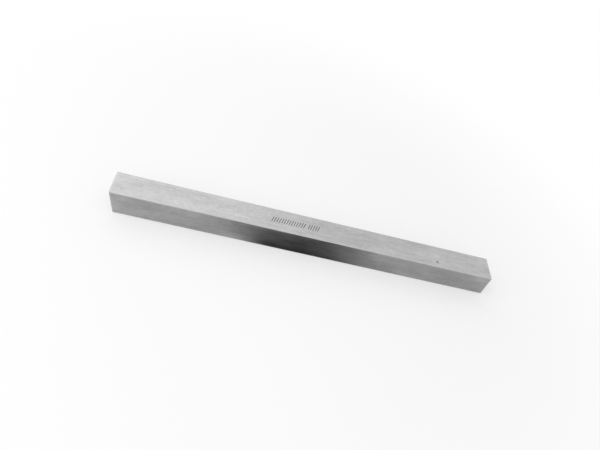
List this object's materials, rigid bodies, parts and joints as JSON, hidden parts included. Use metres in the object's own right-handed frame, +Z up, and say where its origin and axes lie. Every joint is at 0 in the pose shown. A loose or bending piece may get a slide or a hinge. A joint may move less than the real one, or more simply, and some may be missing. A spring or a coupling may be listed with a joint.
{
  "type": "lathe tool bit",
  "caption": "Square lathe tool bit blank of ground high speed steel, a slim solid bar with broken edges and both ends cut with the same slight lean.",
  "frame": {"origin": "on the face that the bar lies on, under the middle of its length and width", "axes": "+X along the bar, towards the end whose lower edge stands out; +Z up, towards the face that the clamp screws press on; +Y away from the viewer of the picture"},
  "size_m": [0.2016, 0.014, 0.014],
  "materials": {
    "ground_steel": "surface ground on all sides, satin, with fine grinding lines along the bar"
  },
  "bodies": {
    "root": {"tool_bit": "ground_steel"}
  },
  "joints": []
}
